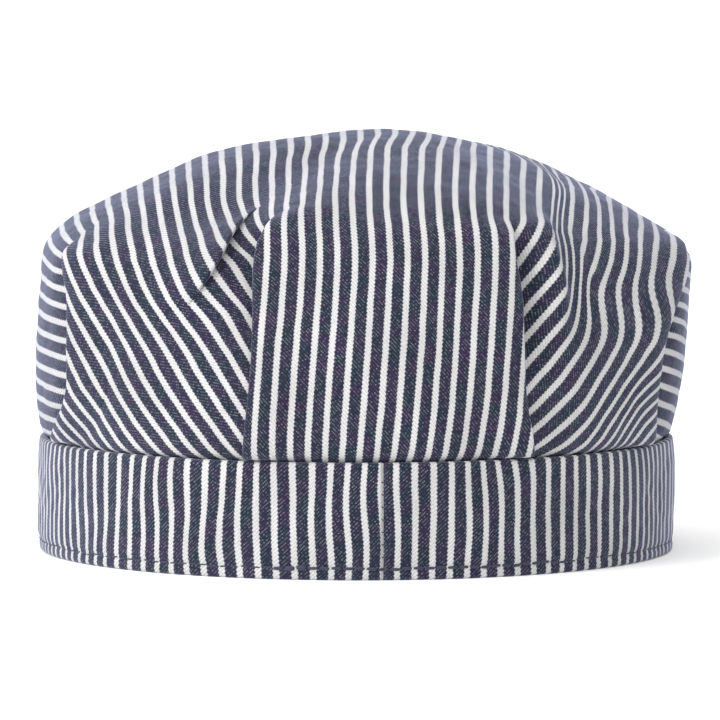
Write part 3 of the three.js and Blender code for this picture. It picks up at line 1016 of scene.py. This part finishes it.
def build_visor():
    across = -np.cos(np.linspace(0, math.pi, VISOR_COLUMNS))[:, None] * VISOR_END
    out = np.sin(np.linspace(0, math.pi / 2, VISOR_ROWS))
    half = VISOR_EDGE_SHARE + (0.5 - VISOR_EDGE_SHARE) * np.sqrt(np.clip(1 - out**8, 0, 1))
    upper, lower = visor_point(across, out, 0.5 + half), visor_point(across, out, 0.5 - half)
    points = np.concatenate([upper, lower[:, ::-1]], 1)
    places = points[..., :2].reshape(-1, 2)
    visor = add_mesh("visor_cloth", points.reshape(-1, 3), sleeve_faces(points), [right_side], places)
    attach(visor, "root")
    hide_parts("visor")


# Stage: a pale floor, a bright even sky and two large soft lights
FLOOR_HALF = 12000.0
FLOOR_WHITE = 0.98
FLOOR_GLOW = 0.12  # keeps the cap's shadow faint
SKY_LEVEL = 0.68
SKY_FROM_LEFT = 0.24
SKY_FROM_ABOVE = 0.9
SKY_DARK_RIGHT = (-0.95, -0.1, 0.05)  # from where to where the sky darkens toward -X, and what is left there
LIGHT_TARGET = (0, 0, 0.06)


def floor_material():
    material, tree, shader = new_material("pale_floor")
    white = (FLOOR_WHITE, FLOOR_WHITE, FLOOR_WHITE, 1)
    glow = {"Emission Color": (1, 1, 1, 1), "Emission Strength": FLOOR_GLOW}
    set_inputs(tree, shader, {"Base Color": white, "Roughness": 0.9, **glow})
    return material


def build_stage():
    corners = FLOOR_HALF * np.array([(-1, -1, 0), (1, -1, 0), (1, 1, 0), (-1, 1, 0)])
    floor = add_mesh("floor", corners, [(0, 1, 2, 3)], [floor_material()])
    build_sky()
    add_soft_light("left_softbox", (1.5, 1.1, 1.1), 17)
    add_soft_light("right_softbox", (-0.4, 1.8, 1.3), 9)


def build_sky():
    """White light from all sides, brighter from the left and above, and dark toward the far right."""
    world = bpy.data.worlds.new("studio")
    world.use_nodes = True
    tree = world.node_tree
    direction = add_node(tree, "ShaderNodeTexCoord").outputs["Generated"]
    leftward, _, upward = add_node(tree, "ShaderNodeSeparateXYZ", {0: direction}).outputs
    low, high, left_over = SKY_DARK_RIGHT
    strength = calc(tree, "MULTIPLY_ADD", leftward, SKY_FROM_LEFT, SKY_LEVEL)
    strength = calc(tree, "MULTIPLY_ADD", upward, SKY_FROM_ABOVE, strength)
    strength = calc(tree, "MULTIPLY", strength, ramp(tree, leftward, low, high, left_over, 1.0))
    set_inputs(tree, tree.nodes["Background"], {"Color": (1, 1, 1, 1), "Strength": strength})
    bpy.context.scene.world = world


def add_soft_light(name, position, power):
    """A round light one metre wide, aimed at the cap. Its position is in metres."""
    light = bpy.data.lights.new(name, "AREA")
    light.shape = "DISK"
    light.size = 1.0
    light.energy = power
    lamp = bpy.data.objects.new(name, light)
    lamp.location = position
    lamp.rotation_euler = aimed_along(np.subtract(LIGHT_TARGET, position)).to_euler()
    bpy.context.scene.collection.objects.link(lamp)


def aimed_along(direction):
    """The turn that points a camera or a light along a direction."""
    return Vector(direction).to_track_quat("-Z", "Y")


# Camera: behind the cap and a little above it, far off
CAMERA_DISTANCE = 2150.0
CAMERA_ELEVATION = 4.2
CAMERA_AZIMUTH = 5.0
CAMERA_LENS = 380.0
CAMERA_SEES = 50  # metres
AIM_RIGHT = 1.1
AIM_HEIGHT = 53.0


def build_camera():
    azimuth, elevation = math.radians(CAMERA_AZIMUTH), math.radians(CAMERA_ELEVATION)
    toward = np.array([math.sin(azimuth), math.cos(azimuth), math.tan(elevation)]) * math.cos(elevation)
    right = np.array([-math.cos(azimuth), math.sin(azimuth), 0])
    aim = RIM_MIDDLE + AIM_RIGHT * right + (0, 0, AIM_HEIGHT)
    data = bpy.data.cameras.new("camera")
    data.lens = CAMERA_LENS
    data.clip_end = CAMERA_SEES
    camera = bpy.data.objects.new("camera", data)
    camera.location = (aim + CAMERA_DISTANCE * toward) * MM
    camera.rotation_euler = aimed_along(-toward).to_euler()
    bpy.context.scene.collection.objects.link(camera)
    bpy.context.scene.camera = camera


build_camera()
build_stage()
build_crown()
build_band()
build_band_stitches()
build_visor()
bpy.context.scene.view_settings.view_transform = "Standard"
